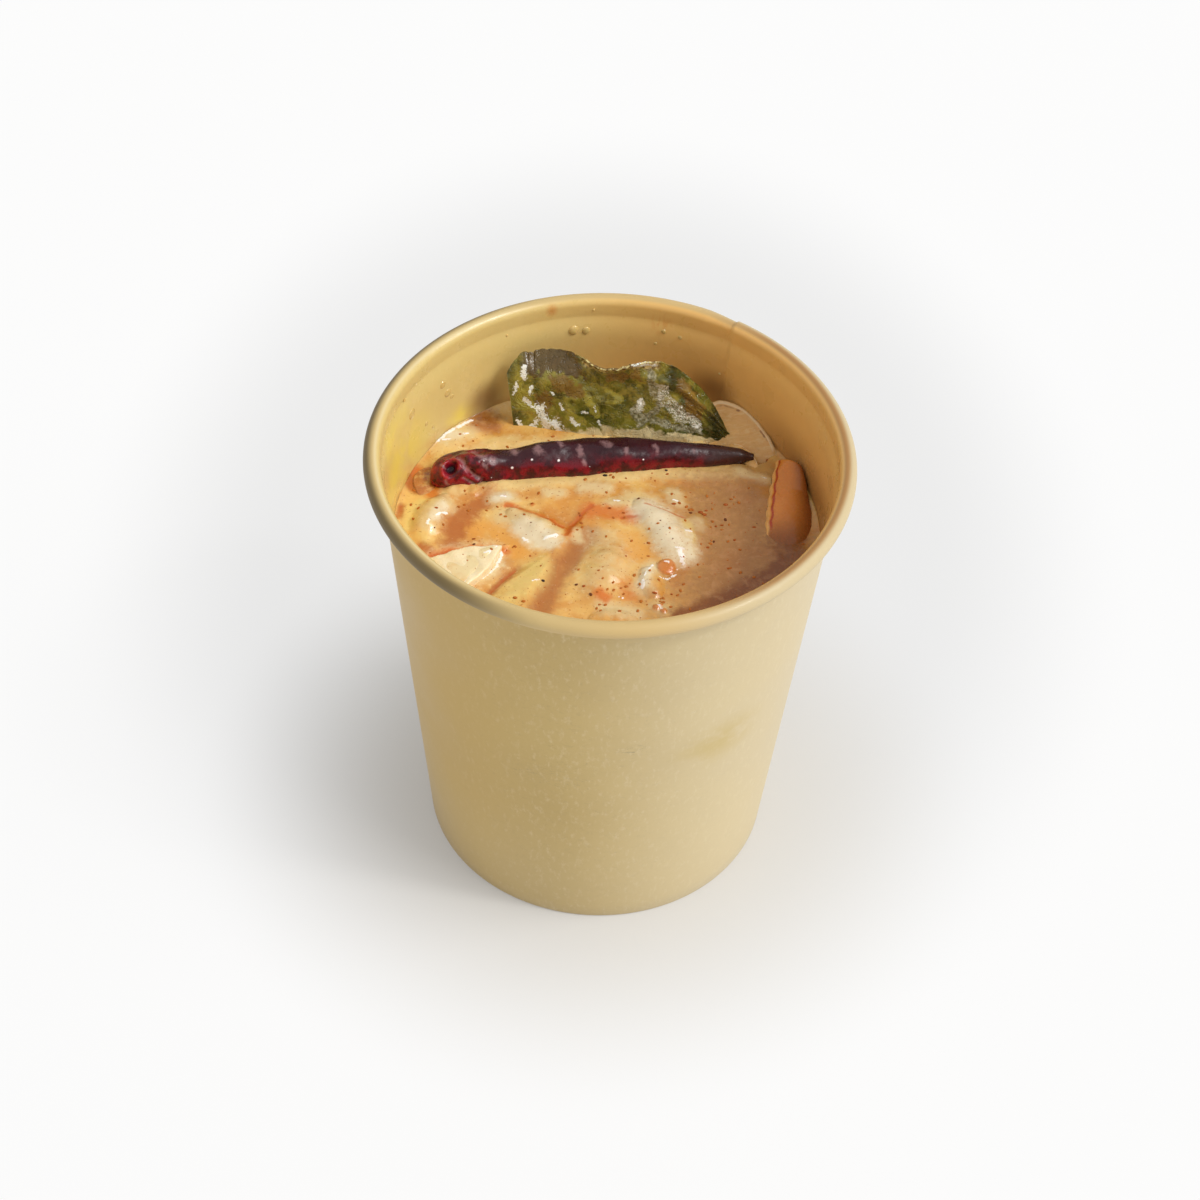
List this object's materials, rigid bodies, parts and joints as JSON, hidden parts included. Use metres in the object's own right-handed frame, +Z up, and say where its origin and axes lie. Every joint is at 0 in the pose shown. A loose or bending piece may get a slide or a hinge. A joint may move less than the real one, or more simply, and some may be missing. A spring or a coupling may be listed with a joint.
{
  "type": "tom yum soup in a paper cup",
  "caption": "Creamy tom yum soup in a round, tapered paper takeaway cup with a rolled rim; a dried chilli and a lime leaf stand out of the broth.",
  "frame": {"origin": "centre of the cup's foot ring, on the surface that the cup stands on", "axes": "+Z up along the cup's axis, +Y towards the lime leaf, the chilli lies roughly along X"},
  "size_m": [0.098, 0.098, 0.103],
  "materials": {
    "kraft_paper": "brown kraft paper with a thin film on the inside, matte outside",
    "kraft_base": "brown kraft board, matte",
    "creamy_broth": "creamy orange-brown soup, wet",
    "chilli_skin": "wrinkled dark red dried chilli skin, wet",
    "torn_chilli_skin": "thin orange-brown flap of chilli skin, wet",
    "leaf_green": "olive green cooked lime leaf, wet",
    "galangal_flesh": "pinkish tan root slice with a brown skin",
    "galangal_fibre": "pale fibrous root slice",
    "tomato_skin": "orange red cooked tomato, wet",
    "prawn_flesh": "white cooked prawn flesh, wet",
    "mushroom_flesh": "pale cream mushroom flesh"
  },
  "bodies": {
    "root": {"cup_wall": "kraft_paper", "cup_base": "kraft_base", "broth": "creamy_broth", "dried_chilli": "chilli_skin", "lime_leaf": "leaf_green", "galangal_slice_1": "galangal_flesh", "galangal_slice_2": "galangal_fibre", "chilli_flap": "torn_chilli_skin", "tomato_wedge": "tomato_skin", "prawn_1": "prawn_flesh", "prawn_2": "prawn_flesh", "prawn_3": "prawn_flesh", "prawn_4": "prawn_flesh", "prawn_5": "prawn_flesh", "prawn_6": "prawn_flesh", "mushroom_slice_1": "mushroom_flesh", "mushroom_slice_2": "mushroom_flesh"}
  },
  "joints": []
}
